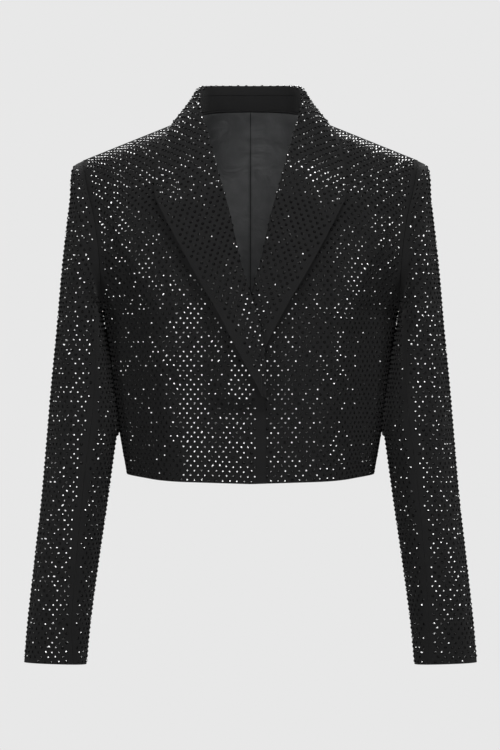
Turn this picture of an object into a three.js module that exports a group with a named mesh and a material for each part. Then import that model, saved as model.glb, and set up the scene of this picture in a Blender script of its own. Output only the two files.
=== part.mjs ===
// A cropped blazer with a shawl collar and two-piece sleeves, filled out as on an invisible figure.
// Millimetres. +Z is up, the front faces -Y, and the wearer's right is -X.
// The origin is in the middle of the neck, level with the tops of the shoulders.
import * as THREE from 'three';

// Driving dimensions: cloth and seams.
const CLOTH = 1.8;
const COLLAR_CLOTH = 1.5;
const LINING_CLOTH = 1.0;
const SEAM_GAP = 0.3;
const LINING_GAP = 1.5;

// The lap: how far the right front stands out over the left one, and over its lapel, between two
// heights and fading out from near the front edge to far from it.
const LAP_STEP = 2.5;
const UNDER_LAPEL_LIFT = 6.2;
const LIFT_TOP = -168;
const LIFT_BOTTOM = -328;
const LIFT_FADE = 18;
const LIFT_TOP_FADE = 34;
const LIFT_NEAR = 22;
const LIFT_FAR = 58;

// How the sections are rounded where the front turns to the flank, and the flank to the side.
const CORNER_LEG = 30;
const FLANK_LEG = 22;

// Collar: the height of its roll over the cloth beneath, and the radius of the roll.
const COLLAR_SEAT = 1.5;
const COLLAR_SOFTNESS = 1.5;
const ROLL_RADIUS = 3.0;
const ROLL_SHARE_OF_FALL = 0.3;
const LEAST_ROLL_RADIUS = 0.4;
const FOLD_GAP = 0.4;
const NECK_EDGE = 66.4;
const NECK_EDGE_BULGE = 3.2;
const STAND_TOP_GAP = 0.4;
const STAND_REACH = [0.02, 0.98];

// Grids: how many cells each piece has across and along.
const FRONT_CELLS = { across: 13, along: 24 };
const BACK_CELLS = { across: 22, along: 22 };
const LINING_CELLS = { across: 22, along: 14 };
const TOP_SLEEVE_CELLS = { across: 14, along: 20 };
const UNDER_SLEEVE_CELLS = { across: 8, along: 20 };
const COLLAR_CELLS = { fall: 6, along: 36 };
const STAND_CELLS = { across: 20, along: 2 };

// Seams that two pieces share. Each row is a point at one level, on the wearer's left.
const SHOULDER_SEAM = {
  neck: [66, 12, 18.5],
  tip: [205.5, 6, -37],
};
const SIDE_SEAM = [
  [181, 8, -222],
  [173.5, 6, -270],
  [168, 5, -318],
  [160.5, 3, -370],
  [151.5, 2, -421],
];

// Sections of the front, from the shoulder seam down to the hem.
// centre is on the middle line, corner is where the chest turns to the flank,
// flank is where the flank turns to the side, and edge is the armhole, then the side seam.
const FRONT_SECTIONS = [
  { centre: [0, 18, 44], corner: [66, 12, 18.5], flank: [140, 10, -11], edge: SHOULDER_SEAM.tip },
  { centre: [0, -50, 12], corner: [95, -24, -7], flank: [150, -24, -27], edge: [203, -18, -50] },
  { centre: [0, -84, -24], corner: [100, -60, -36], flank: [152, -54, -55], edge: [197.5, -40, -78] },
  { centre: [0, -103, -72], corner: [106, -88, -82], flank: [154, -75, -94], edge: [190, -57, -110] },
  { centre: [0, -111, -128], corner: [110, -99, -134], flank: [156, -80, -140], edge: [184.5, -64, -150] },
  { centre: [0, -116, -178], corner: [112, -104, -181], flank: [162, -68, -184], edge: [182, -54, -188] },
  { centre: [0, -117, -208], corner: [113, -104, -209], flank: [170, -48, -210], edge: [181, -30, -212] },
  { centre: [0, -117, -222], corner: [113, -104, -222], flank: [178, -26, -222], edge: SIDE_SEAM[0] },
  { centre: [0, -116, -270], corner: [112, -102, -270], flank: [170.5, -25, -270], edge: SIDE_SEAM[1] },
  { centre: [0, -113, -318], corner: [110, -100, -318], flank: [165, -24, -318], edge: SIDE_SEAM[2] },
  { centre: [0, -109, -372], corner: [107, -97, -370], flank: [157.5, -23, -370], edge: SIDE_SEAM[3] },
  { centre: [0, -105, -432], corner: [104, -94, -429], flank: [148.5, -22, -422], edge: SIDE_SEAM[4] },
];

// Sections of the back. The first follows the neckline from the centre, then the shoulder seam.
const BACK_SECTIONS = [
  { centre: [0, 66.5, 27], corner: [52, 62, 26], flank: [67, 14, 19], edge: SHOULDER_SEAM.tip },
  { centre: [0, 80, 8], corner: [66, 74, 3], flank: [105, 42, -8], edge: [203, 26, -52] },
  { centre: [0, 93, -28], corner: [86, 88, -34], flank: [140, 62, -52], edge: [197, 44, -84] },
  { centre: [0, 103, -85], corner: [108, 98, -90], flank: [158, 74, -100], edge: [189, 58, -122] },
  { centre: [0, 106, -140], corner: [120, 100, -144], flank: [163, 75, -150], edge: [184.5, 61, -158] },
  { centre: [0, 105, -190], corner: [126, 96, -192], flank: [170, 60, -194], edge: [182, 46, -196] },
  { centre: [0, 104, -211], corner: [128, 95, -212], flank: [176, 48, -212], edge: [181, 28, -213] },
  { centre: [0, 103, -222], corner: [128, 94, -222], flank: [179.5, 38, -222], edge: SIDE_SEAM[0] },
  { centre: [0, 98, -270], corner: [122, 89, -270], flank: [171.5, 36, -270], edge: SIDE_SEAM[1] },
  { centre: [0, 93, -318], corner: [116, 85, -318], flank: [165.5, 34, -318], edge: SIDE_SEAM[2] },
  { centre: [0, 90, -370], corner: [112, 82, -370], flank: [158, 33, -370], edge: SIDE_SEAM[3] },
  { centre: [0, 88, -429], corner: [107, 80, -427], flank: [149, 32, -422], edge: SIDE_SEAM[4] },
];
const UNDERARM_ROW = 7;
const HEM_ROW = FRONT_SECTIONS.length - 1;

// Sections of the sleeve below the armhole: outer and inner are the points farthest from the body
// and nearest to it, front and back are the depths it reaches. The front seam's share is how far it
// lies from the middle of the front towards the body, and the back seam's share is the same behind.
const SLEEVE_SECTIONS = [
  { outer: [216.5, -45], inner: [182.2, -223.4], front: -69, back: 66, frontSeam: 0.9, backSeam: 0.5 },
  { outer: [221, -86], inner: [182.2, -224.6], front: -72, back: 70, frontSeam: 0.88, backSeam: 0.5 },
  { outer: [226.3, -130], inner: [182, -226.4], front: -73, back: 73, frontSeam: 0.84, backSeam: 0.48 },
  { outer: [231.3, -178], inner: [181.6, -229.4], front: -73, back: 74, frontSeam: 0.8, backSeam: 0.46 },
  { outer: [236, -233], inner: [180, -238], front: -73, back: 73, frontSeam: 0.75, backSeam: 0.44 },
  { outer: [243.2, -308], inner: [170.3, -310], front: -71, back: 66, frontSeam: 0.48, backSeam: 0.42 },
  { outer: [247.8, -362], inner: [162.6, -362], front: -69, back: 60, frontSeam: 0.27, backSeam: 0.4 },
  { outer: [249.3, -380], inner: [163.7, -380], front: -68, back: 58, frontSeam: 0.24, backSeam: 0.4 },
  { outer: [255.6, -453], inner: [174.7, -453], front: -66, back: 48, frontSeam: 0.25, backSeam: 0.38 },
  { outer: [264, -527], inner: [185.7, -527], front: -65, back: 37, frontSeam: 0.33, backSeam: 0.36 },
  { outer: [272, -600], inner: [195.4, -600], front: -63, back: 27, frontSeam: 0.43, backSeam: 0.34 },
  { outer: [276.6, -650.5], inner: [200.4, -653], front: -61, back: 21, frontSeam: 0.6, backSeam: 0.32 },
];
const SLEEVE_SQUARENESS = 2.35;
const ARMHOLE_FRONT_SEAM = 0.93;
const ARMHOLE_BACK_SEAM = 0.5;

// Collar round the neck, from the centre back forward: fold is the top of the roll, edge is the
// outer edge, and stand is how far the inside reaches down below the fold.
const NECK_STATIONS = [
  { fold: [0, 68, 57.4], edge: [0, 93, 2], stand: 12 },
  { fold: [29.5, 65.5, 57.4], edge: [42, 88, 2], stand: 12 },
  { fold: [50, 55, 56.8], edge: [76, 68, 1], stand: 12 },
  { fold: [59.5, 35, 54], edge: [88, 40, 1], stand: 12 },
  { fold: [62, 23, 49.6], edge: [92.5, 22, 1], stand: 13 },
  { fold: [62.5, 16, 45.2], edge: [94.8, 12, 0], stand: 18 },
  { fold: [62.5, 9, 41], edge: [97.5, 2, 0], stand: 24 },
  { fold: [60.5, -14, 28], edge: [106, -26, -12], stand: 20 },
];
const STAND_STATIONS = 4;

// Lapel, from the collarbone down to where the fold ends at the front edge: x and z of the fold and
// of the outer edge. A negative x is past the middle line. roll is the height of the roll.
const LAPEL_STATIONS = [
  { fold: [54, 2], edge: [113, -38], roll: 9.5 },
  { fold: [46.5, -25], edge: [116.5, -66], roll: 8 },
  { fold: [38.5, -55], edge: [115.5, -85], roll: 6 },
  { fold: [31, -81], edge: [107.5, -102], roll: 6 },
  { fold: [24, -107], edge: [95.5, -125], roll: 6 },
  { fold: [13.3, -155], edge: [69.5, -173], roll: 5 },
  { fold: [2.3, -194], edge: [49.5, -207], roll: 3.6 },
  { fold: [-8.6, -228], edge: [33.3, -236], roll: 3.2 },
  { fold: [-15.3, -258], edge: [19, -264], roll: 3 },
  { fold: [-18.3, -290], edge: [4.5, -290], roll: 3.3 },
  { fold: [-19, -312], edge: [-6.5, -311], roll: 3.4 },
  { fold: [-19, -327], edge: [-13, -325], roll: 3.4 },
];

// The point inside the body from which the collar is laid on the shoulders, and the sides.
const BODY_AXIS = { y: 4, z: -120 };
const RIGHT = -1;
const LEFT = 1;

const vector = (xyz) => new THREE.Vector3(...xyz);
const mix = THREE.MathUtils.lerp;
const ease = THREE.MathUtils.smoothstep;

// A polyline with each inner corner rounded, as closely spaced points with their distances.
function roundedPath(corners, legs) {
  const points = [corners[0]];
  for (let i = 1; i < corners.length - 1; i++) {
    const before = corners[i - 1].distanceTo(corners[i]);
    const after = corners[i + 1].distanceTo(corners[i]);
    const leg = Math.min(legs[i - 1], 0.48 * before, 0.48 * after);
    const start = corners[i].clone().lerp(corners[i - 1], leg / before);
    const end = corners[i].clone().lerp(corners[i + 1], leg / after);
    const bend = new THREE.QuadraticBezierCurve3(start, corners[i], end);
    points.push(...bend.getPoints(6));
  }
  points.push(corners[corners.length - 1]);
  const distances = [0];
  for (let i = 1; i < points.length; i++) {
    distances.push(distances[i - 1] + points[i].distanceTo(points[i - 1]));
  }
  return { points, distances, length: distances[distances.length - 1] };
}

// The point of a path at a given value of a rising measure, such as its distances.
function along(path, measures, value) {
  let i = 1;
  while (i < measures.length - 1 && measures[i] < value) i++;
  const share = (value - measures[i - 1]) / (measures[i] - measures[i - 1]);
  return path.points[i - 1].clone().lerp(path.points[i], share);
}

// The value between low and high at which a rising function passes a target.
function solve(low, high, target, measure) {
  let a = low;
  let b = high;
  for (let i = 0; i < 30; i++) {
    const middle = (a + b) / 2;
    if (measure(middle) < target) a = middle;
    else b = middle;
  }
  return (a + b) / 2;
}

// The four lines that run down a panel through its sections. The edge is in two parts, because
// the armhole meets the side seam at a corner under the arm.
function panelLines(sections) {
  const curve = (rows, key) => {
    const points = rows.map((row) => vector(row[key]));
    return new THREE.CatmullRomCurve3(points, false, 'centripetal');
  };
  return {
    centre: curve(sections, 'centre'),
    corner: curve(sections, 'corner'),
    flank: curve(sections, 'flank'),
    armhole: curve(sections.slice(0, UNDERARM_ROW + 1), 'edge'),
    side: curve(sections.slice(UNDERARM_ROW), 'edge'),
  };
}

function sectionAt(lines, row) {
  const share = THREE.MathUtils.clamp(row / HEM_ROW, 0, 1);
  const onArmhole = row <= UNDERARM_ROW;
  const edge = onArmhole
    ? lines.armhole.getPoint(row / UNDERARM_ROW)
    : lines.side.getPoint((row - UNDERARM_ROW) / (HEM_ROW - UNDERARM_ROW));
  const corners = [lines.centre.getPoint(share), lines.corner.getPoint(share)];
  corners.push(lines.flank.getPoint(share), edge);
  return roundedPath(corners, [CORNER_LEG, FLANK_LEG]);
}

// A point of a section at a distance from the middle line, also a little way past it.
function atDistance(path, distance) {
  if (distance >= 0) return along(path, path.distances, distance);
  const mirrored = along(path, path.distances, -distance);
  mirrored.x = -mirrored.x;
  return mirrored;
}

function atWidth(path, x) {
  const widths = path.points.map((point) => point.x);
  const point = along(path, widths, Math.abs(x));
  point.x = x;
  return point;
}

const frontLines = panelLines(FRONT_SECTIONS);
const backLines = panelLines(BACK_SECTIONS);

// The fold of the lapel, seen from the front: x for a height.
const foldLine = new THREE.CatmullRomCurve3(
  LAPEL_STATIONS.map((station) => new THREE.Vector3(station.fold[0], 0, station.fold[1])),
  false,
  'centripetal',
);

function foldWidth(z) {
  const share = solve(0, 1, -z, (t) => -foldLine.getPoint(t).z);
  return foldLine.getPoint(share).x;
}

// How far the right front stands out over the left one, where it laps it and its lapel.
function lapLift(side, x, z) {
  if (side === LEFT) return 0;
  const belowNeck = 1 - ease(z, LIFT_TOP, LIFT_TOP + LIFT_TOP_FADE);
  const overLapel = ease(z, LIFT_BOTTOM - LIFT_FADE, LIFT_BOTTOM) * belowNeck;
  return (LAP_STEP * belowNeck + UNDER_LAPEL_LIFT * overLapel) * (1 - ease(x, LIFT_NEAR, LIFT_FAR));
}

// The inner edge of a front at a row: the fold of the lapel, and below it the straight front edge.
function frontInnerWidth(row, path) {
  let x = 0;
  for (let i = 0; i < 12; i++) {
    const z = atWidth(path, x).z;
    const behindFold = COLLAR_CLOTH + SEAM_GAP + FOLD_GAP;
    const beside = ease(z, LIFT_BOTTOM - LIFT_FADE, LIFT_BOTTOM - 2);
    x = foldWidth(z) + behindFold * beside;
  }
  if (row >= 1) return x;
  return mix(NECK_EDGE, x, row) + NECK_EDGE_BULGE * 4 * row * (1 - row);
}

// Where a panel ends at a row: at the armhole, and half a gap short of the side seam below it.
function sideSeamDistance(path, row) {
  return path.length - (row > UNDERARM_ROW ? SEAM_GAP / 2 : 0);
}

function frontPoint(side, row, share) {
  const path = sectionAt(frontLines, row);
  const inner = frontInnerWidth(row, path);
  const innerDistance = inner < 0 ? inner : solve(0, path.length, inner, (d) => atDistance(path, d).x);
  const point = atDistance(path, mix(innerDistance, sideSeamDistance(path, row), share));
  point.y -= lapLift(side, point.x, point.z);
  point.x *= side;
  return point;
}

function backPoint(row, share) {
  const path = sectionAt(backLines, row);
  return atDistance(path, share * sideSeamDistance(path, row));
}

function gridNormals(grid) {
  const rows = grid.length;
  const columns = grid[0].length;
  return grid.map((line, i) => line.map((point, j) => {
    const down = grid[Math.min(i + 1, rows - 1)][j].clone().sub(grid[Math.max(i - 1, 0)][j]);
    const across = line[Math.min(j + 1, columns - 1)].clone().sub(line[Math.max(j - 1, 0)]);
    return down.cross(across).normalize();
  }));
}

// A closed wall from a grid of points on its right side. The wrong side is the same grid moved in.
function wall(grid, thickness, inside, seamNormal, normals = gridNormals(grid)) {
  const rows = grid.length;
  const columns = grid[0].length;
  const i = rows >> 1;
  const j = columns >> 1;
  const outward = grid[i][j].clone().sub(inside).dot(normals[i][j]) > 0 ? 1 : -1;
  const upper = [];
  const lower = [];
  for (let r = 0; r < rows; r++) {
    for (let c = 0; c < columns; c++) {
      const point = grid[r][c];
      const normal = normals[r][c].multiplyScalar(outward);
      if (seamNormal) seamNormal(r, point, normal);
      upper.push(...point.toArray());
      lower.push(...point.clone().addScaledVector(normal, -thickness).toArray());
    }
  }

  const positions = [...upper, ...lower];
  const under = rows * columns;
  const index = [];
  const quad = (a, b, c, d) => index.push(a, b, c, a, c, d);
  for (let r = 0; r < rows - 1; r++) {
    for (let c = 0; c < columns - 1; c++) {
      const a = r * columns + c;
      const d = a + columns;
      quad(a, a + 1, d + 1, d);
      quad(under + a, under + d, under + d + 1, under + a + 1);
    }
  }
  for (let c = 0; c < columns - 1; c++) {
    const last = (rows - 1) * columns + c;
    quad(c, under + c, under + c + 1, c + 1);
    quad(last, last + 1, under + last + 1, under + last);
  }
  for (let r = 0; r < rows - 1; r++) {
    const first = r * columns;
    const last = first + columns - 1;
    quad(first, first + columns, under + first + columns, under + first);
    quad(last, under + last, under + last + columns, last + columns);
  }
  const geometry = new THREE.BufferGeometry();
  geometry.setAttribute('position', new THREE.Float32BufferAttribute(positions, 3));
  geometry.setIndex(facingOut(positions, index));
  geometry.computeVertexNormals();
  return geometry;
}

// The triangles, turned round if they enclose a negative volume.
function facingOut(positions, index) {
  const corner = (k) => new THREE.Vector3().fromArray(positions, 3 * index[k]);
  let volume = 0;
  for (let k = 0; k < index.length; k += 3) volume += corner(k).dot(corner(k + 1).cross(corner(k + 2)));
  if (volume > 0) return index;
  const turned = [];
  for (let k = 0; k < index.length; k += 3) turned.push(index[k], index[k + 2], index[k + 1]);
  return turned;
}

const steps = (count, from = 0, to = 1) => (
  Array.from({ length: count + 1 }, (unused, i) => mix(from, to, i / count))
);

// Fronts and back: along a shoulder or side seam the walls on its two sides turn in the same way.
// The trim keeps the two shoulder edges apart, as a share of a row. The side seam is known by its
// place, and the shoulder seam fades in beside the neck.
const SHOULDER_TRIM = 0.005;
const SIDE_SEAM_DEPTH = 5;
const SIDE_SEAM_REACH = 4;
const SIDE_SEAM_LEAST_WIDTH = SIDE_SEAM[4][0] - 2;
const SIDE_SEAM_TOP = SIDE_SEAM[0][2] + 1;
const SHOULDER_SEAM_FADE = [62, 78];
const shoulderSlope = Math.atan2(
  SHOULDER_SEAM.neck[2] - SHOULDER_SEAM.tip[2],
  SHOULDER_SEAM.tip[0] - SHOULDER_SEAM.neck[0],
);

function panelSeamNormal(row, point, normal) {
  const width = Math.abs(point.x);
  const out = Math.sign(point.x);
  const beside = width > SIDE_SEAM_LEAST_WIDTH && Math.abs(point.y - SIDE_SEAM_DEPTH) < SIDE_SEAM_REACH;
  if (beside && point.z < SIDE_SEAM_TOP) normal.set(out, 0, 0);
  if (row > 0) return;
  const square = new THREE.Vector3(out * Math.sin(shoulderSlope), 0, Math.cos(shoulderSlope));
  normal.lerp(square, ease(width, ...SHOULDER_SEAM_FADE)).normalize();
}

function frontGeometry(side) {
  const rows = steps(FRONT_CELLS.along, SHOULDER_TRIM, HEM_ROW);
  const shares = steps(FRONT_CELLS.across);
  const grid = rows.map((row) => shares.map((share) => frontPoint(side, row, share)));
  return wall(grid, CLOTH, new THREE.Vector3(0, 0, BODY_AXIS.z), panelSeamNormal);
}

function backGrid(cells, firstRow, lastRow) {
  return steps(cells.along, firstRow, lastRow).map((row) => (
    steps(cells.across, -1, 1).map((share) => {
      const point = backPoint(row, Math.abs(share));
      point.x *= Math.sign(share);
      return point;
    })
  ));
}

function backGeometry() {
  const grid = backGrid(BACK_CELLS, SHOULDER_TRIM, HEM_ROW);
  return wall(grid, CLOTH, new THREE.Vector3(0, 0, BODY_AXIS.z), panelSeamNormal);
}

// The sleeve tube: the armhole's own line first, then the sections. Turn 0 is the outer side,
// a quarter turn is the front, half is the side nearest the body, and three quarters the back.
const ARMHOLE_STEPS = 40;
const ARMHOLE_ROUNDING = 0.01;
const ARMHOLE_GAP = SEAM_GAP + 0.1;
const ARMHOLE_HUB = { y: -2, z: (SHOULDER_SEAM.tip[2] + SIDE_SEAM[0][2]) / 2 };
const CLOSER_AT_CAP = 1.15;

function armholePoint(lines, share) {
  const points = steps(ARMHOLE_STEPS).map((t) => lines.armhole.getPoint(t));
  const path = roundedPath(points, points.map(() => ARMHOLE_ROUNDING));
  const point = along(path, path.distances, share * path.length);
  point.x += ARMHOLE_GAP;
  return point;
}

function sleeveRingPoint(section, turn) {
  const power = 2 / SLEEVE_SQUARENESS;
  const bend = (value) => Math.sign(value) * Math.abs(value) ** power;
  const outward = bend(Math.cos(turn * 2 * Math.PI));
  const forward = bend(Math.sin(turn * 2 * Math.PI));
  const x = mix(section.inner[0], section.outer[0], (1 + outward) / 2);
  const z = mix(section.inner[1], section.outer[1], (1 + outward) / 2);
  const y = mix(section.back, section.front, (1 + forward) / 2);
  return new THREE.Vector3(x, y, z);
}

function seamTurn(share) {
  return 0.25 + Math.asin(share ** (SLEEVE_SQUARENESS / 2)) / (2 * Math.PI);
}

// Turns of the front and back seams at each ring, the armhole first.
const FRONT_SEAM_TURNS = [
  seamTurn(ARMHOLE_FRONT_SEAM),
  ...SLEEVE_SECTIONS.map((section) => seamTurn(section.frontSeam)),
];
const BACK_SEAM_TURNS = [
  1 - seamTurn(ARMHOLE_BACK_SEAM),
  ...SLEEVE_SECTIONS.map((section) => 1 - seamTurn(section.backSeam)),
];
const TURN_TRIM = 0.0008;

function sleeveGeometry(side, cells, firstTurns, lastTurns) {
  const cell = 1 / cells.across;
  const columns = [-cell, ...steps(cells.across), 1 + cell].map((share) => {
    const turns = firstTurns.map((first, ring) => mix(first, lastTurns[ring], share));
    const wrapped = turns.map((turn) => turn - Math.floor(turn));
    const start = wrapped[0];
    const onFront = start <= 0.5;
    const points = [armholePoint(onFront ? frontLines : backLines, onFront ? 2 * start : 2 - 2 * start)];
    SLEEVE_SECTIONS.forEach((section, i) => points.push(sleeveRingPoint(section, wrapped[i + 1])));
    return new THREE.CatmullRomCurve3(points, false, 'centripetal');
  });
  const wide = steps(cells.along).map((share) => columns.map((curve) => {
    const point = curve.getPoint(share ** CLOSER_AT_CAP);
    point.x *= side;
    return point;
  }));
  const grid = wide.map((line) => line.slice(1, -1));
  const normals = gridNormals(wide).map((line) => line.slice(1, -1));
  const middle = SLEEVE_SECTIONS[6];
  const inside = new THREE.Vector3(
    side * (middle.outer[0] + middle.inner[0]) / 2,
    (middle.front + middle.back) / 2,
    middle.outer[1],
  );
  const armholeNormal = (row, point, normal) => {
    if (row === 0) normal.set(0, point.y - ARMHOLE_HUB.y, point.z - ARMHOLE_HUB.z).normalize();
  };
  return wall(grid, CLOTH, inside, armholeNormal, normals);
}

const topSleeveGeometry = (side) => sleeveGeometry(
  side,
  TOP_SLEEVE_CELLS,
  BACK_SEAM_TURNS.map((turn) => turn - 1 + TURN_TRIM),
  FRONT_SEAM_TURNS.map((turn) => turn - TURN_TRIM),
);
const underSleeveGeometry = (side) => sleeveGeometry(
  side,
  UNDER_SLEEVE_CELLS,
  FRONT_SEAM_TURNS.map((turn) => turn + TURN_TRIM),
  BACK_SEAM_TURNS.map((turn) => turn - TURN_TRIM),
);

// The body's surface in the plane of one x, met along a ray from the body's axis.
function bodyRadius(x, angle) {
  const hit = (lines, row) => {
    const point = atWidth(sectionAt(lines, row), x);
    return new THREE.Vector2(point.z - BODY_AXIS.z, BODY_AXIS.y - point.y);
  };
  const seam = hit(frontLines, 0);
  const forward = angle > Math.atan2(seam.y, seam.x);
  const lines = forward ? frontLines : backLines;
  const sign = forward ? 1 : -1;
  const turn = (row) => {
    const point = hit(lines, row);
    return sign * Math.atan2(point.y, point.x);
  };
  const row = solve(0, HEM_ROW, sign * angle, turn);
  const point = hit(lines, row);
  return point.length();
}

// The front's own surface at x and z, found by its row.
function onFront(side, x, z) {
  const row = solve(0, HEM_ROW, -z, (r) => -atWidth(sectionAt(frontLines, r), x).z);
  const point = atWidth(sectionAt(frontLines, row), x);
  point.y -= lapLift(side, x, z);
  return point;
}

// A point of the collar laid over the body with at least a given clearance, or exactly that.
// Below the axis it is laid straight forward on to the front, and above it along a ray.
function seated(side, point, clearance, exact) {
  const above = (excess) => (exact ? 0 : (excess + Math.hypot(excess, COLLAR_SOFTNESS)) / 2);
  if (point.z < BODY_AXIS.z) {
    const surface = onFront(side, point.x, point.z);
    surface.y -= clearance;
    surface.y -= above(surface.y - point.y);
    return surface;
  }
  const up = point.z - BODY_AXIS.z;
  const forward = BODY_AXIS.y - point.y;
  const angle = Math.atan2(forward, up);
  const floor = bodyRadius(point.x, angle) + clearance;
  const radius = floor + above(Math.hypot(up, forward) - floor);
  return new THREE.Vector3(
    point.x,
    BODY_AXIS.y - radius * Math.sin(angle),
    BODY_AXIS.z + radius * Math.cos(angle),
  );
}

// Every station of one collar: fold, outer edge and the foot of the inside, the neck's first.
function collarStations(side) {
  const clearance = COLLAR_SEAT + COLLAR_CLOTH;
  const neck = NECK_STATIONS.map((station) => ({
    fold: vector(station.fold),
    foot: vector(station.fold).add(new THREE.Vector3(0, 0, -station.stand)),
    edge: seated(side, vector(station.edge), clearance, true),
  }));
  const lapel = LAPEL_STATIONS.map((station) => {
    const surface = onFront(side, station.fold[0], station.fold[1]);
    const edge = onFront(side, station.edge[0], station.edge[1]);
    return {
      fold: surface.clone().add(new THREE.Vector3(0, -station.roll, 0)),
      foot: surface.clone().add(new THREE.Vector3(0, CLOTH, 0)),
      edge: seated(side, edge, clearance, true),
    };
  });
  return [...neck, ...lapel];
}

// One section across the collar: up the inside, round the roll, and down the fall to the edge.
const ROLL_TURNS = [0, 45, 90, 135];

function collarSection(side, fold, foot, edge) {
  const up = fold.clone().sub(foot).normalize();
  const out = edge.clone().sub(fold);
  out.addScaledVector(up, -out.dot(up));
  const reach = out.length();
  out.normalize();
  const radius = Math.min(ROLL_RADIUS, ROLL_SHARE_OF_FALL * reach + LEAST_ROLL_RADIUS);
  const hub = fold.clone().addScaledVector(up, -radius).addScaledVector(out, radius);
  const points = [foot];
  ROLL_TURNS.forEach((degrees) => {
    const angle = THREE.MathUtils.degToRad(degrees);
    const point = hub.clone().addScaledVector(out, -radius * Math.cos(angle));
    points.push(point.addScaledVector(up, radius * Math.sin(angle)));
  });
  const rolled = points[points.length - 1];
  const clearance = COLLAR_SEAT + COLLAR_CLOTH;
  steps(COLLAR_CELLS.fall).slice(1).forEach((share) => {
    const point = rolled.clone().lerp(edge, share);
    points.push(share === 1 ? edge : seated(side, point, clearance, false));
  });
  return points;
}

function collarGeometry(side) {
  const stations = collarStations(side);
  const curve = (key) => new THREE.CatmullRomCurve3(stations.map((s) => s[key]), false, 'centripetal');
  const [fold, foot, edge] = [curve('fold'), curve('foot'), curve('edge')];
  const grid = steps(COLLAR_CELLS.along).map((share) => {
    const section = collarSection(side, fold.getPoint(share), foot.getPoint(share), edge.getPoint(share));
    return section.map((point) => {
      if (share === 0) point.x += SEAM_GAP / 2;
      point.x *= side;
      return point;
    });
  });
  return wall(grid, COLLAR_CLOTH, new THREE.Vector3(0, 0, BODY_AXIS.z));
}

// The collar stand: a plain band inside the neck, under the foot of the collar.
function standGeometry() {
  const stations = NECK_STATIONS.slice(0, STAND_STATIONS + 1);
  const topPoint = (side, { fold, stand }) => (
    new THREE.Vector3(side * fold[0], fold[1], fold[2] - stand - STAND_TOP_GAP)
  );
  const top = [
    ...stations.slice(1).reverse().map((station) => topPoint(RIGHT, station)),
    ...stations.map((station) => topPoint(LEFT, station)),
  ];
  const curve = new THREE.CatmullRomCurve3(top, false, 'centripetal');
  const bottom = (x) => atWidth(sectionAt(backLines, 0), x).z + SEAM_GAP;
  const grid = steps(STAND_CELLS.along).map((down) => (
    steps(STAND_CELLS.across, ...STAND_REACH).map((share) => {
      const point = curve.getPoint(share);
      point.z = mix(point.z, bottom(point.x), down);
      return point;
    })
  ));
  return wall(grid, -COLLAR_CLOTH, new THREE.Vector3(0, 0, 30));
}

// The back lining hangs just inside the back, from below the stand to just above the hem.
const LINING_TOP_ROW = 0.1;
const LINING_HEM_ROW = HEM_ROW - 0.3;

function liningGeometry() {
  const cloth = backGrid(LINING_CELLS, LINING_TOP_ROW, LINING_HEM_ROW);
  const normals = gridNormals(cloth);
  const grid = cloth.map((line, i) => line.map((point, j) => {
    const inward = normals[i][j];
    if (inward.dot(new THREE.Vector3(point.x, point.y, 0)) > 0) inward.negate();
    return point.clone().addScaledVector(inward, CLOTH + LINING_GAP);
  }));
  return wall(grid, LINING_CLOTH, new THREE.Vector3(0, 0, BODY_AXIS.z));
}

// Finishes: the same black suiting throughout, and a grey satin lining.
const suiting = () => new THREE.MeshStandardMaterial({ color: 0x1c1c1d, roughness: 0.85, metalness: 0 });
const satin = () => new THREE.MeshStandardMaterial({ color: 0x3d3e40, roughness: 0.4, metalness: 0 });

function piece(name, geometry, material) {
  const mesh = new THREE.Mesh(geometry, material);
  mesh.name = name;
  return mesh;
}

const blazer = new THREE.Group();
blazer.name = 'cropped_blazer';
for (const [word, side] of [['right', RIGHT], ['left', LEFT]]) {
  blazer.add(piece(`front_${word}`, frontGeometry(side), suiting()));
  blazer.add(piece(`collar_${word}`, collarGeometry(side), suiting()));
  blazer.add(piece(`sleeve_top_${word}`, topSleeveGeometry(side), suiting()));
  blazer.add(piece(`sleeve_under_${word}`, underSleeveGeometry(side), suiting()));
}
blazer.add(piece('back', backGeometry(), suiting()));
blazer.add(piece('collar_stand', standGeometry(), suiting()));
blazer.add(piece('back_lining', liningGeometry(), satin()));

export default blazer;
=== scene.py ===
import math

import bpy
import numpy as np
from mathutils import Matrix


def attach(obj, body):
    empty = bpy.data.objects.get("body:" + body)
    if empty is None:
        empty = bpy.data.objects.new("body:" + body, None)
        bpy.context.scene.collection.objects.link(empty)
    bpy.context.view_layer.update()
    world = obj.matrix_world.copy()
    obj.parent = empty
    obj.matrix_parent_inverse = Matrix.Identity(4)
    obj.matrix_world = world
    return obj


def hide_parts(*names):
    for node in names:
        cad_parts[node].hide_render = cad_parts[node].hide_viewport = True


# The frame: the blazer's solids at their real size, which the finished pieces are laid on. The origin
# is the middle of the neck, where shoulders or a hanger carry it. Cloth and stones are measured in mm.
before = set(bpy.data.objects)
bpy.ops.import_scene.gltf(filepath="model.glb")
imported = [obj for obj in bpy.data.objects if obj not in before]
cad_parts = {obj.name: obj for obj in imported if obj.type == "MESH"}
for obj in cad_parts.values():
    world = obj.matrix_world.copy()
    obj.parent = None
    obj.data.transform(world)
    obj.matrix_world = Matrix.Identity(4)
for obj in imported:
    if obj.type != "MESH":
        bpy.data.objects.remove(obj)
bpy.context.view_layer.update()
MM = 0.001


def clear_selection():
    if bpy.context.object and bpy.context.object.mode != "OBJECT":
        bpy.ops.object.mode_set(mode="OBJECT")
    bpy.ops.object.select_all(action="DESELECT")


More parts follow.
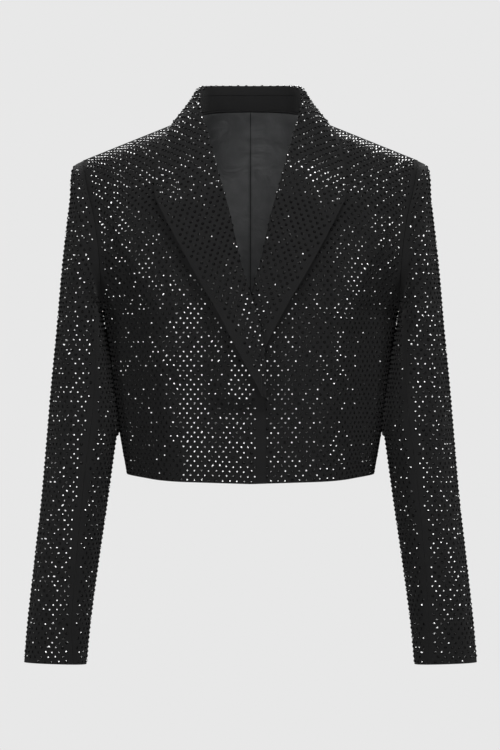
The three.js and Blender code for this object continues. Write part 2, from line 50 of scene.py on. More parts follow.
# The view: from straight in front at the height of the ribs, through a long lens, as a shop's camera
# stands for a garment shown flat on.
VIEW_DISTANCE = 8.0
VIEW_SIDE = -0.0006
VIEW_HEIGHT = -0.3
VIEW_TALL = 0.9188
SENSOR = 36.0
bpy.ops.object.camera_add(location=(VIEW_SIDE, -VIEW_DISTANCE, VIEW_HEIGHT), rotation=(math.pi / 2, 0, 0))
camera = bpy.context.object
camera.data.sensor_width = SENSOR
camera.data.lens = SENSOR * VIEW_DISTANCE / VIEW_TALL
camera.data.clip_end = 60
bpy.context.scene.camera = camera
bpy.context.scene.view_settings.view_transform = "Standard"

# The studio: plain pale air that the camera sees, dim to everything else, and soft boxes above, in
# front and to the sides. The stones throw these back as fields and columns of glints.
PALE = (0.807, 0.807, 0.807, 1)
AIR_AHEAD, AIR_ELSEWHERE = 0.17, 0.012
AIR_EDGE = -0.4


def colour_sockets(sockets):
    return [socket for socket in sockets if socket.type == "RGBA"]


def give(node, values):
    """Sets a node's inputs by their names."""
    for name, value in values.items():
        node.inputs[name].default_value = value


air = bpy.data.worlds.new("pale_air")
bpy.context.scene.world = air
air.use_nodes = True
air_nodes = air.node_tree.nodes
air_links = air.node_tree.links
background = air_nodes["Background"]
direction = air_nodes.new("ShaderNodeTexCoord")
split = air_nodes.new("ShaderNodeSeparateXYZ")
air_links.new(direction.outputs["Generated"], split.inputs[0])
toward = air_nodes.new("ShaderNodeMapRange")
give(toward, {"From Min": -1.0, "From Max": AIR_EDGE, "To Min": AIR_AHEAD, "To Max": AIR_ELSEWHERE})
air_links.new(split.outputs["Y"], toward.inputs["Value"])
seen = air_nodes.new("ShaderNodeLightPath")
choose = air_nodes.new("ShaderNodeMix")
choose.data_type = "RGBA"
unseen_air, seen_air = colour_sockets(choose.inputs)
air_links.new(toward.outputs["Result"], unseen_air)
seen_air.default_value = PALE
air_links.new(seen.outputs["Is Camera Ray"], choose.inputs["Factor"])
air_links.new(colour_sockets(choose.outputs)[0], background.inputs["Color"])


def soft_box(name, place, aim, size, watts):
    bpy.ops.object.light_add(type="AREA", location=place)
    light = bpy.context.object
    light.name = name
    light.data.shape = "RECTANGLE"
    light.data.size, light.data.size_y = size
    light.data.energy = watts
    heading = np.array(aim, float) - np.array(place, float)
    rise = math.atan2(heading[2], math.hypot(heading[0], heading[1]))
    turn = math.atan2(heading[1], heading[0])
    light.rotation_euler = (math.pi / 2 + rise, 0, turn - math.pi / 2)


soft_box("box_top", (0.5, -1.5, 2.5), (0, 0, -0.2), (1.5, 0.6), 62)
soft_box("box_left", (-2.5, -1.9, 0.3), (0, 0, -0.3), (0.45, 1.7), 28)
soft_box("box_right", (2.5, -1.9, 0.3), (0, 0, -0.3), (0.45, 1.7), 28)
soft_box("box_front", (-0.42, -4.6, -0.68), (0, 0, -0.32), (3.1, 0.86), 120)
soft_box("box_flank_left", (-2.8, 0.6, -0.3), (0, 0, -0.3), (0.35, 1.2), 14)
soft_box("box_flank_right", (2.8, 0.6, -0.3), (0, 0, -0.3), (0.35, 1.2), 14)
soft_box("box_back", (0.0, 2.6, 1.6), (0, 0, -0.2), (2.2, 1.2), 52)

# The suiting: a matt black woven cloth for fronts, back, sleeves and collar. The weave is fine
# twill, with a little sheen, so the cloth between the stones isn't dead black.
SUITING_BLACK = (0.0053, 0.0053, 0.0055, 1)
SUITING_WORN = (0.0080, 0.0080, 0.0082, 1)
THREADS_PER_METRE = 1500.0
THREAD_HEIGHT = 0.0002
TWILL_TURN = 0.6
SLUB_SCALE, SLUB_DETAIL = 60.0, 6.0
CLOTH_SPECULAR = 0.16
SHEEN_ROUGHNESS = 0.5


def weave_group():
    group = bpy.data.node_groups.new("twill_weave", "ShaderNodeTree")
    group.interface.new_socket("Threads", in_out="INPUT", socket_type="NodeSocketFloat")
    group.interface.new_socket("Height", in_out="OUTPUT", socket_type="NodeSocketFloat")
    group.interface.new_socket("Slub", in_out="OUTPUT", socket_type="NodeSocketFloat")
    nodes, links = group.nodes, group.links
    given = nodes.new("NodeGroupInput")
    result = nodes.new("NodeGroupOutput")
    place = nodes.new("ShaderNodeTexCoord")
    waves = []
    for turn in (0.0, math.pi / 2):
        turned = nodes.new("ShaderNodeVectorRotate")
        turned.rotation_type = "EULER_XYZ"
        turned.inputs["Rotation"].default_value = (0, turn + TWILL_TURN, 0)
        links.new(place.outputs["Object"], turned.inputs["Vector"])
        wave = nodes.new("ShaderNodeTexWave")
        wave.bands_direction = "X"
        links.new(turned.outputs["Vector"], wave.inputs["Vector"])
        links.new(given.outputs["Threads"], wave.inputs["Scale"])
        waves.append(wave)
    both = nodes.new("ShaderNodeMath")
    both.operation = "MULTIPLY"
    links.new(waves[0].outputs["Fac"], both.inputs[0])
    links.new(waves[1].outputs["Fac"], both.inputs[1])
    links.new(both.outputs[0], result.inputs["Height"])
    slub = nodes.new("ShaderNodeTexNoise")
    give(slub, {"Scale": SLUB_SCALE, "Detail": SLUB_DETAIL})
    links.new(place.outputs["Object"], slub.inputs["Vector"])
    links.new(slub.outputs["Fac"], result.inputs["Slub"])
    return group


weave = weave_group()


def cloth_material(name, dark, light, rough, threads, bump, sheen):
    material = bpy.data.materials.new(name)
    material.use_nodes = True
    nodes, links = material.node_tree.nodes, material.node_tree.links
    shader = nodes["Principled BSDF"]
    give(shader, {"Roughness": rough, "Specular IOR Level": CLOTH_SPECULAR})
    give(shader, {"Sheen Weight": sheen, "Sheen Roughness": SHEEN_ROUGHNESS})
    woven = nodes.new("ShaderNodeGroup")
    woven.node_tree = weave
    give(woven, {"Threads": threads})
    tint = nodes.new("ShaderNodeMix")
    tint.data_type = "RGBA"
    colours = colour_sockets(tint.inputs)
    colours[0].default_value = dark
    colours[1].default_value = light
    links.new(woven.outputs["Slub"], tint.inputs["Factor"])
    links.new(colour_sockets(tint.outputs)[0], shader.inputs["Base Color"])
    relief = nodes.new("ShaderNodeBump")
    give(relief, {"Strength": bump, "Distance": THREAD_HEIGHT})
    links.new(woven.outputs["Height"], relief.inputs["Height"])
    links.new(relief.outputs["Normal"], shader.inputs["Normal"])
    return material


suiting = cloth_material(
    "black_suiting", SUITING_BLACK, SUITING_WORN,
    rough=0.85, threads=THREADS_PER_METRE, bump=0.35, sheen=0.04,
)

# The fronts: two pieces of suiting from shoulder seam to hem, with no dart. The right one laps over
# the left. Sections run from the middle line to the armhole or side seam, as the cloth was cut.
CLOTH = 1.8
LAP_STEP = 2.5
UNDER_LAPEL_LIFT = 6.2
LIFT_TOP, LIFT_TOP_FADE = -168, 34
LIFT_BOTTOM, LIFT_FADE, LIFT_LEAD = -328, 18, 2
LIFT_NEAR, LIFT_FAR = 22, 58
CORNER_LEG, FLANK_LEG = 30, 22
LONGEST_LEG_SHARE = 0.48
ARC_POINTS = 9
FOLD_LINE_POINTS = 400
EDGE_ROUNDS = 12
EDGE_SPARE = 0.4
FIRST_ROW = 0.005
FOLD_RISE, FOLD_FALL = (-0.15, 0.25), (0.7, 1.15)
SMOOTH_ANGLE = math.radians(50)
COLLAR_CLOTH = 1.5
SEAM_GAP = 0.3
NECK_EDGE, NECK_EDGE_BULGE = 66.4, 3.2
SHOULDER_TIP = (205.5, 6, -37)
SIDE_SEAM = [(181, 8, -222), (173.5, 6, -270), (168, 5, -318), (160.5, 3, -370), (151.5, 2, -421)]
FRONT_SECTIONS = [
    dict(centre=(0, 18, 44), corner=(66, 12, 18.5), flank=(140, 10, -11), edge=SHOULDER_TIP),
    dict(centre=(0, -50, 12), corner=(95, -24, -7), flank=(150, -24, -27), edge=(203, -18, -50)),
    dict(centre=(0, -84, -24), corner=(100, -60, -36), flank=(152, -54, -55), edge=(197.5, -40, -78)),
    dict(centre=(0, -103, -72), corner=(106, -88, -82), flank=(154, -75, -94), edge=(190, -57, -110)),
    dict(centre=(0, -111, -128), corner=(110, -99, -134), flank=(156, -80, -140), edge=(184.5, -64, -150)),
    dict(centre=(0, -116, -178), corner=(112, -104, -181), flank=(162, -68, -184), edge=(182, -54, -188)),
    dict(centre=(0, -117, -208), corner=(113, -104, -209), flank=(170, -48, -210), edge=(181, -30, -212)),
    dict(centre=(0, -117, -222), corner=(113, -104, -222), flank=(178, -26, -222), edge=SIDE_SEAM[0]),
    dict(centre=(0, -116, -270), corner=(112, -102, -270), flank=(170.5, -25, -270), edge=SIDE_SEAM[1]),
    dict(centre=(0, -113, -318), corner=(110, -100, -318), flank=(165, -24, -318), edge=SIDE_SEAM[2]),
    dict(centre=(0, -109, -372), corner=(107, -97, -370), flank=(157.5, -23, -370), edge=SIDE_SEAM[3]),
    dict(centre=(0, -105, -432), corner=(104, -94, -429), flank=(148.5, -22, -422), edge=SIDE_SEAM[4]),
]
UNDERARM_ROW = 7
HEM_ROW = len(FRONT_SECTIONS) - 1
LAPEL_STATIONS = [
    dict(fold=(54, 2), edge=(113, -38), roll=9.5),
    dict(fold=(46.5, -25), edge=(116.5, -66), roll=8),
    dict(fold=(38.5, -55), edge=(115.5, -85), roll=6),
    dict(fold=(31, -81), edge=(107.5, -102), roll=6),
    dict(fold=(24, -107), edge=(95.5, -125), roll=6),
    dict(fold=(13.3, -155), edge=(69.5, -173), roll=5),
    dict(fold=(2.3, -194), edge=(49.5, -207), roll=3.6),
    dict(fold=(-8.6, -228), edge=(33.3, -236), roll=3.2),
    dict(fold=(-15.3, -258), edge=(19, -264), roll=3),
    dict(fold=(-18.3, -290), edge=(4.5, -290), roll=3.3),
    dict(fold=(-19, -312), edge=(-6.5, -311), roll=3.4),
    dict(fold=(-19, -327), edge=(-13, -325), roll=3.4),
]


def ease(value, low, high):
    share = np.clip((np.asarray(value, float) - low) / (high - low), 0, 1)
    return share * share * (3 - 2 * share)


def spline(points, t):
    """Points on a smooth curve through the given ones, for t from 0 to 1. It never overshoots."""
    points = np.asarray(points, float)
    ends = np.vstack([2 * points[0] - points[1], points, 2 * points[-1] - points[-2]])
    reach = np.clip(np.asarray(t, float), 0, 1) * (len(points) - 1)
    step = np.minimum(reach.astype(int), len(points) - 2)
    share = (reach - step)[..., None]
    p0, p1, p2, p3 = (ends[step + k] for k in range(4))
    pairs = ((p0, p1), (p1, p2), (p2, p3))
    gaps = [np.maximum(np.linalg.norm(b - a, axis=-1), 1e-6)[..., None] ** 0.5 for a, b in pairs]
    start = ((p1 - p0) / gaps[0] - (p2 - p0) / (gaps[0] + gaps[1]) + (p2 - p1) / gaps[1]) * gaps[1]
    end = ((p2 - p1) / gaps[1] - (p3 - p1) / (gaps[1] + gaps[2]) + (p3 - p2) / gaps[2]) * gaps[1]
    curve = (2 * p1 - 2 * p2 + start + end) * share ** 3
    return curve + (-3 * p1 + 3 * p2 - 2 * start - end) * share ** 2 + start * share + p1


def run_lengths(points):
    return np.concatenate([[0], np.cumsum(np.linalg.norm(np.diff(points, axis=0), axis=1))])


def section_path(sections, row):
    """One section of a panel: its four corners joined by lines, with the inner two rounded."""
    share = row / HEM_ROW
    corners = [spline([s[key] for s in sections], share) for key in ("centre", "corner", "flank")]
    edges = [s["edge"] for s in sections]
    if row <= UNDERARM_ROW:
        corners.append(spline(edges[:UNDERARM_ROW + 1], row / UNDERARM_ROW))
    else:
        corners.append(spline(edges[UNDERARM_ROW:], (row - UNDERARM_ROW) / (HEM_ROW - UNDERARM_ROW)))
    points = [corners[0]]
    for k, leg in ((1, CORNER_LEG), (2, FLANK_LEG)):
        before = np.linalg.norm(corners[k - 1] - corners[k])
        after = np.linalg.norm(corners[k + 1] - corners[k])
        leg = min(leg, LONGEST_LEG_SHARE * before, LONGEST_LEG_SHARE * after)
        start = corners[k] + (corners[k - 1] - corners[k]) * leg / before
        end = corners[k] + (corners[k + 1] - corners[k]) * leg / after
        for t in np.linspace(0, 1, ARC_POINTS):
            points.append((1 - t) ** 2 * start + 2 * t * (1 - t) * corners[k] + t * t * end)
    points.append(corners[3])
    points = np.array(points)
    return points, run_lengths(points)


def at_distances(path, distances):
    points, marks = path
    found = np.stack([np.interp(np.abs(distances), marks, points[:, k]) for k in range(3)], axis=-1)
    found[..., 0] *= np.where(np.asarray(distances) < 0, -1, 1)
    return found


def fold_width(z):
    folds = [(s["fold"][0], 0, s["fold"][1]) for s in LAPEL_STATIONS]
    line = spline(folds, np.linspace(0, 1, FOLD_LINE_POINTS))
    return np.interp(-z, -line[:, 2], line[:, 0])


def lap_lift(side, x, z):
    """How far the right front stands out over the left one, where it laps it and its lapel."""
    if side > 0:
        return np.zeros_like(np.asarray(x, float))
    below_neck = 1 - ease(z, LIFT_TOP, LIFT_TOP + LIFT_TOP_FADE)
    over_lapel = ease(z, LIFT_BOTTOM - LIFT_FADE, LIFT_BOTTOM) * below_neck
    return (LAP_STEP * below_neck + UNDER_LAPEL_LIFT * over_lapel) * (1 - ease(x, LIFT_NEAR, LIFT_FAR))


def front_inner_distance(row, path):
    """Where a section of a front begins, from the middle line: at the lapel's fold or the front edge."""
    points, marks = path
    x = 0.0
    for _ in range(EDGE_ROUNDS):
        z = np.interp(abs(x), points[:, 0], points[:, 2])
        beside = ease(z, LIFT_BOTTOM - LIFT_FADE, LIFT_BOTTOM - LIFT_LEAD)
        x = float(fold_width(z) + (COLLAR_CLOTH + SEAM_GAP + EDGE_SPARE) * beside)
    if row < 1:
        x = NECK_EDGE + (x - NECK_EDGE) * row + NECK_EDGE_BULGE * 4 * row * (1 - row)
    return x if x < 0 else float(np.interp(x, points[:, 0], marks))


def front_points(side, rows, shares):
    lines = []
    for row in rows:
        path = section_path(FRONT_SECTIONS, row)
        inner = front_inner_distance(row, path)
        end = path[1][-1] - (SEAM_GAP / 2 if row > UNDERARM_ROW else 0)
        line = at_distances(path, inner + (end - inner) * shares)
        line[:, 1] -= lap_lift(side, line[:, 0], line[:, 2])
        line[:, 0] *= side
        lines.append(line)
    return np.array(lines)


def grid_normals(grid):
    down = np.gradient(grid, axis=0)
    across = np.gradient(grid, axis=1)
    normals = np.cross(down, across)
    return normals / np.maximum(np.linalg.norm(normals, axis=-1, keepdims=True), 1e-9)


def outward(grid, inside):
    normals = grid_normals(grid)
    middle = grid.shape[0] // 2, grid.shape[1] // 2
    facing = np.dot(grid[middle] - np.array(inside), normals[middle])
    return normals if facing > 0 else -normals


def soft_folds(grid, inside, folds):
    """Presses soft troughs, or raises soft ridges, in a grid. Each row of the table is one fold: the
    shares across and down where it starts and ends, its half-width in shares, and its height in mm."""
    rows, columns = grid.shape[:2]
    down, across = np.meshgrid(np.linspace(0, 1, rows), np.linspace(0, 1, columns), indexing="ij")
    height = np.zeros((rows, columns))
    for fold in folds:
        start, end = np.array(fold["start"]), np.array(fold["end"])
        line = end - start
        share = ((across - start[0]) * line[0] + (down - start[1]) * line[1]) / np.dot(line, line)
        off_x = across - (start[0] + share * line[0])
        off_y = down - (start[1] + share * line[1])
        off = np.hypot(off_x, off_y) / fold["wide"]
        ends = ease(share, *FOLD_RISE) * (1 - ease(share, *FOLD_FALL))
        height += fold["high"] * np.exp(-off * off) * ends
    return grid + outward(grid, inside) * height[..., None]


def cloth_piece(name, grid, inside, thickness, material, cells):
    """A wall of cloth: a flat grid whose points are moved to the surface, then given its thickness."""
    clear_selection()
    bpy.ops.mesh.primitive_grid_add(x_subdivisions=cells[0], y_subdivisions=cells[1], size=1)
    piece = bpy.context.object
    piece.name = piece.data.name = name
    flat = np.empty(len(piece.data.vertices) * 3)
    piece.data.vertices.foreach_get("co", flat)
    flat = flat.reshape(-1, 3)
    rows, columns = grid.shape[:2]
    across = (flat[:, 0] + 0.5) * (columns - 1)
    down = (0.5 - flat[:, 1]) * (rows - 1)
    points = sample(grid, down, across)
    piece.data.vertices.foreach_set("co", (points * MM).ravel())
    piece.data.update()
    middle = piece.data.polygons[len(piece.data.polygons) // 2 + cells[0] // 2]
    away = np.array(middle.center) - np.array(inside) * MM
    if np.dot(away, np.array(middle.normal)) < 0:
        piece.data.flip_normals()
    thicken = piece.modifiers.new("wall", "SOLIDIFY")
    thicken.thickness = thickness * MM
    thicken.offset = -1
    bpy.ops.object.modifier_apply(modifier="wall")
    bpy.ops.object.shade_smooth_by_angle(angle=SMOOTH_ANGLE)
    piece.data.materials.append(material)
    return piece


def sample(grid, down, across):
    rows, columns = grid.shape[:2]
    i = np.clip(down.astype(int), 0, rows - 2)
    j = np.clip(across.astype(int), 0, columns - 2)
    a, b = (down - i)[:, None], (across - j)[:, None]
    top = grid[i, j] * (1 - b) + grid[i, j + 1] * b
    low = grid[i + 1, j] * (1 - b) + grid[i + 1, j + 1] * b
    return top * (1 - a) + low * a


# The stones: flat-backed black glass, 4 mm across, eight-sided with a table and a crown, glued on in
# rows. One is modelled, and each piece's stones are copies of it, each set a little out of true.
STONE_RADIUS = 1.95
TABLE_RADIUS = 0.84
STONE_HEIGHT = 0.95
STONE_SIDES = 8
STONE_PITCH = 8.7
ROW_PITCH = 5.75
STONE_SINK = 0.1
LEAST_COLUMNS = 6
LEAST_CUFF_SHARE = 0.6
TILT = 0.022
LOOSE_TILT = 0.11
LOOSE_PLACE = 0.22
TURN_FROM = (0.3, 0.2, 1.0)
JET_BLACK = (0.0004, 0.0004, 0.0005, 1)
JET_IOR = 1.75
JET_COAT, JET_COAT_ROUGHNESS = 0.6, 0.05
JET_SMOOTH, JET_SCRATCHED = 0.06, 0.2
SCRATCH_SCALE = 900.0
clear_selection()
bpy.ops.mesh.primitive_cone_add(
    vertices=STONE_SIDES, radius1=STONE_RADIUS, radius2=TABLE_RADIUS, depth=STONE_HEIGHT,
    end_fill_type="NGON", location=(0, 0, 0),
)
master_stone = bpy.context.object
stone_points = np.array([v.co[:] for v in master_stone.data.vertices])
stone_points[:, 2] += STONE_HEIGHT / 2 - STONE_SINK
stone_faces = [tuple(p.vertices) for p in master_stone.data.polygons if p.normal.z > -0.9]
bpy.data.objects.remove(master_stone)

jet = bpy.data.materials.new("jet_glass")
jet.use_nodes = True
jet_shader = jet.node_tree.nodes["Principled BSDF"]
give(jet_shader, {"Base Color": JET_BLACK, "IOR": JET_IOR})
give(jet_shader, {"Coat Weight": JET_COAT, "Coat Roughness": JET_COAT_ROUGHNESS})
jet_noise = jet.node_tree.nodes.new("ShaderNodeTexNoise")
give(jet_noise, {"Scale": SCRATCH_SCALE})
jet_place = jet.node_tree.nodes.new("ShaderNodeTexCoord")
jet_rough = jet.node_tree.nodes.new("ShaderNodeMapRange")
give(jet_rough, {"To Min": JET_SMOOTH, "To Max": JET_SCRATCHED})
jet.node_tree.links.new(jet_place.outputs["Object"], jet_noise.inputs["Vector"])
jet.node_tree.links.new(jet_noise.outputs["Fac"], jet_rough.inputs["Value"])
jet.node_tree.links.new(jet_rough.outputs["Result"], jet_shader.inputs["Roughness"])


def row_of_spots(marks, middle, number, start, end):
    """Distances along a row: even steps from its middle, with every other row half a step over."""
    middle = middle + STONE_PITCH * 0.5 * (number % 2)
    first = math.ceil((start - middle) / STONE_PITCH)
    last = math.floor((marks[-1] - end - middle) / STONE_PITCH)
    return middle + STONE_PITCH * np.arange(first, last + 1)


def stones_by_row(grid, inside, anchor, margins, hidden=None):
    """Places and normals of stones set in rows along a panel's sections. The rows are evenly apart
    where they cross the anchor, a column for each row. margins are the plain strips at the top, the
    bottom and both ends of a row, and the last may change down the panel."""
    normals = outward(grid, inside)
    rows, columns = grid.shape[:2]
    anchors = np.array([anchor(line) for line in grid])
    spine = sample(grid, np.arange(rows, dtype=float), anchors)
    drop = run_lengths(spine)
    top, bottom, start, end = margins
    places, facings = [], []
    for number, level in enumerate(np.arange(drop[-1] - bottom, top, -ROW_PITCH)):
        row = np.interp(level, drop, np.arange(rows))
        i = min(int(row), rows - 2)
        share = row - i
        line = grid[i] * (1 - share) + grid[i + 1] * share
        facing = normals[i] * (1 - share) + normals[i + 1] * share
        marks = run_lengths(line)
        middle = np.interp(np.interp(row, np.arange(rows), anchors), np.arange(columns), marks)
        last = end(row / (rows - 1)) if callable(end) else end
        spots = row_of_spots(marks, middle, number, start, last)
        places.append(np.stack([np.interp(spots, marks, line[:, c]) for c in range(3)], axis=1))
        facings.append(np.stack([np.interp(spots, marks, facing[:, c]) for c in range(3)], axis=1))
    places, facings = np.concatenate(places), np.concatenate(facings)
    if hidden is not None:
        shown = ~hidden(places)
        places, facings = places[shown], facings[shown]
    return places, facings


def level_line(grid, peaks, height):
    """Where a sleeve's surface has one height: columns and rows of the grid, in order along the line.
    From the armhole a column first rises to its peak and then falls, so near the armhole the line
    comes back through columns that it has already passed."""
    columns = range(grid.shape[1])
    falling, rising = [], []
    for j in columns:
        fall = -grid[peaks[j]:, j, 2]
        rise = grid[:peaks[j] + 1, j, 2]
        falling.append(np.interp(-height, fall, np.arange(len(fall)) + peaks[j], left=np.nan, right=np.nan))
        rising.append(np.interp(height, rise, np.arange(len(rise)), left=np.nan, right=np.nan))
    run = [j for j in columns if not math.isnan(falling[j])]
    if len(run) < LEAST_COLUMNS:
        return None
    ends_at_seam = (run[0] == columns[0], run[-1] == columns[-1])
    middle = grid.shape[1] // 2
    before, after = [], []
    if not ends_at_seam[0]:
        before = [(j, rising[j]) for j in range(run[0], middle) if not math.isnan(rising[j])][::-1]
    if not ends_at_seam[1]:
        after = [(j, rising[j]) for j in range(run[-1], middle, -1) if not math.isnan(rising[j])]
    return np.array(before + [(j, falling[j]) for j in run] + after), ends_at_seam


def stones_by_height(grid, inside, margins):
    """The same for a sleeve, whose rows are level and are cut off by the armhole. The stones' columns
    follow the sleeve's own middle line."""
    normals = outward(grid, inside)
    top, bottom, seam = margins
    peaks = np.argmax(grid[:len(grid) // 2, :, 2], axis=0)
    drops = np.array([run_lengths(grid[:, j]) for j in range(grid.shape[1])]).T[..., None]
    places, facings = [], []
    heights = np.arange(grid[-1, :, 2].min() + bottom, grid[..., 2].max(), ROW_PITCH)
    for number, height in enumerate(heights):
        found = level_line(grid, peaks, height)
        if found is None:
            continue
        (across, down), at_seams = found[0].T, found[1]
        line = sample(grid, down, across)
        marks = run_lengths(line)
        ends = sorted((int(np.argmin(line[:, 1])), int(np.argmax(line[:, 1]))))
        part = slice(ends[0], ends[1] + 1)
        depths = line[part, 1] if line[ends[1], 1] > line[ends[0], 1] else -line[part, 1]
        centre = np.interp(0.5 * (depths[0] + depths[-1]), depths, marks[part])
        spots = row_of_spots(marks, centre, number, seam * at_seams[0], seam * at_seams[1])
        at_column = np.interp(spots, marks, across)
        at_row = np.interp(spots, marks, down)
        from_top = sample(drops, at_row, at_column)[:, 0]
        to_cuff = sample(drops[-1:] - drops, at_row, at_column)[:, 0]
        keep = (from_top > top) & (to_cuff > LEAST_CUFF_SHARE * bottom)
        places.append(sample(grid, at_row, at_column)[keep])
        facings.append(sample(normals, at_row, at_column)[keep])
    return np.concatenate(places), np.concatenate(facings)


def set_stones(name, places, facings, seed, loose_share):
    """Copies the one stone to every place, turned and tilted by chance, as one joined mesh."""
    chance = np.random.default_rng(seed)
    count = len(places)
    loose = np.where(chance.random((count, 1)) < loose_share, LOOSE_TILT, TILT)
    facings = facings + chance.normal(0, 1, (count, 3)) * loose
    facings /= np.linalg.norm(facings, axis=1, keepdims=True)
    first = np.cross(facings, np.array(TURN_FROM))
    first /= np.linalg.norm(first, axis=1, keepdims=True)
    second = np.cross(facings, first)
    turn = chance.uniform(0, 2 * math.pi, count)[:, None]
    axis_a = first * np.cos(turn) + second * np.sin(turn)
    axis_b = np.cross(facings, axis_a)
    shift = first * chance.normal(0, LOOSE_PLACE, (count, 1))
    shift = shift + second * chance.normal(0, LOOSE_PLACE, (count, 1))
    places = places + shift
    local = stone_points[None]
    points = (
        places[:, None] + local[..., 0:1] * axis_a[:, None]
        + local[..., 1:2] * axis_b[:, None] + local[..., 2:3] * facings[:, None]
    ).reshape(-1, 3)
    per_stone = len(stone_points)
    corners = np.concatenate([np.array(face) for face in stone_faces])
    sizes = np.array([len(face) for face in stone_faces])
    loops = (corners[None] + per_stone * np.arange(count)[:, None]).ravel()
    totals = np.tile(sizes, count)
    mesh = bpy.data.meshes.new(name)
    mesh.vertices.add(len(points))
    mesh.loops.add(len(loops))
    mesh.polygons.add(len(totals))
    mesh.vertices.foreach_set("co", (points * MM).ravel())
    mesh.loops.foreach_set("vertex_index", loops)
    mesh.polygons.foreach_set("loop_start", np.concatenate([[0], np.cumsum(totals)[:-1]]))
    mesh.update(calc_edges=True)
    mesh.validate()
    mesh.shade_flat()
    stones = bpy.data.objects.new(name, mesh)
    bpy.context.collection.objects.link(stones)
    mesh.materials.append(jet)
    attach(stones, "root")


# The cloth of the fronts: both are cut alike, and creased by the arms and by the lap's own weight. The
# fold tables hold shares across a piece and down it.
FRONT_GRID = (281, 241)
TORSO_MIDDLE = (0, 0, -120)
FRONT_CELLS = (44, 84)
FRONT_FOLDS = [
    dict(start=(0.93, 0.30), end=(0.72, 0.52), wide=0.030, high=-2.2),
    dict(start=(0.97, 0.40), end=(0.70, 0.62), wide=0.028, high=-1.8),
    dict(start=(0.86, 0.34), end=(0.66, 0.47), wide=0.035, high=1.6),
    dict(start=(0.30, 0.66), end=(0.72, 0.74), wide=0.040, high=-1.8),
    dict(start=(0.28, 0.78), end=(0.80, 0.86), wide=0.045, high=-1.5),
    dict(start=(0.62, 0.60), end=(0.55, 0.98), wide=0.050, high=-1.6),
    dict(start=(0.85, 0.62), end=(0.80, 0.98), wide=0.045, high=1.5),
]


def build_front(side, name):
    rows = np.linspace(FIRST_ROW, HEM_ROW, FRONT_GRID[0])
    grid = front_points(side, rows, np.linspace(0, 1, FRONT_GRID[1]))
    grid = soft_folds(grid, TORSO_MIDDLE, FRONT_FOLDS)
    piece = cloth_piece("cloth_" + name, grid, TORSO_MIDDLE, CLOTH, suiting, FRONT_CELLS)
    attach(piece, "root")
    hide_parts(name)
    return grid


front_grids = {-1: build_front(-1, "front_right"), 1: build_front(1, "front_left")}

# The back: one piece of the same suiting, across both shoulder blades, from the neck to the hem. It
# hangs from the shoulders, and is sewn to the fronts at the shoulder and side seams.
BACK_SECTIONS = [
    dict(centre=(0, 66.5, 27), corner=(52, 62, 26), flank=(67, 14, 19), edge=SHOULDER_TIP),
    dict(centre=(0, 80, 8), corner=(66, 74, 3), flank=(105, 42, -8), edge=(203, 26, -52)),
    dict(centre=(0, 93, -28), corner=(86, 88, -34), flank=(140, 62, -52), edge=(197, 44, -84)),
    dict(centre=(0, 103, -85), corner=(108, 98, -90), flank=(158, 74, -100), edge=(189, 58, -122)),
    dict(centre=(0, 106, -140), corner=(120, 100, -144), flank=(163, 75, -150), edge=(184.5, 61, -158)),
    dict(centre=(0, 105, -190), corner=(126, 96, -192), flank=(170, 60, -194), edge=(182, 46, -196)),
    dict(centre=(0, 104, -211), corner=(128, 95, -212), flank=(176, 48, -212), edge=(181, 28, -213)),
    dict(centre=(0, 103, -222), corner=(128, 94, -222), flank=(179.5, 38, -222), edge=SIDE_SEAM[0]),
    dict(centre=(0, 98, -270), corner=(122, 89, -270), flank=(171.5, 36, -270), edge=SIDE_SEAM[1]),
    dict(centre=(0, 93, -318), corner=(116, 85, -318), flank=(165.5, 34, -318), edge=SIDE_SEAM[2]),
    dict(centre=(0, 90, -370), corner=(112, 82, -370), flank=(158, 33, -370), edge=SIDE_SEAM[3]),
    dict(centre=(0, 88, -429), corner=(107, 80, -427), flank=(149, 32, -422), edge=SIDE_SEAM[4]),
]
BACK_CELLS = (88, 84)
BACK_GRID = (281, 401)
BACK_FOLDS = [
    dict(start=(0.08, 0.34), end=(0.24, 0.52), wide=0.022, high=-2.0),
    dict(start=(0.94, 0.33), end=(0.78, 0.50), wide=0.022, high=-2.1),
    dict(start=(0.05, 0.46), end=(0.26, 0.62), wide=0.024, high=-1.6),
    dict(start=(0.96, 0.45), end=(0.72, 0.64), wide=0.022, high=-1.7),
    dict(start=(0.36, 0.60), end=(0.33, 0.98), wide=0.030, high=-1.6),
    dict(start=(0.62, 0.58), end=(0.66, 0.98), wide=0.032, high=-1.5),
    dict(start=(0.50, 0.50), end=(0.49, 0.95), wide=0.040, high=1.4),
    dict(start=(0.30, 0.12), end=(0.70, 0.13), wide=0.030, high=-1.3),
]


def back_points(rows, shares):
    lines = []
    for row in rows:
        path = section_path(BACK_SECTIONS, row)
        end = path[1][-1] - (SEAM_GAP / 2 if row > UNDERARM_ROW else 0)
        lines.append(at_distances(path, shares * end))
    return np.array(lines)


back_rows = np.linspace(FIRST_ROW, HEM_ROW, BACK_GRID[0])
back_smooth = back_points(back_rows, np.linspace(-1, 1, BACK_GRID[1]))
back_grid = soft_folds(back_smooth, TORSO_MIDDLE, BACK_FOLDS)
back_piece = cloth_piece("cloth_back", back_grid, TORSO_MIDDLE, CLOTH, suiting, BACK_CELLS)
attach(back_piece, "root")
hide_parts("back")

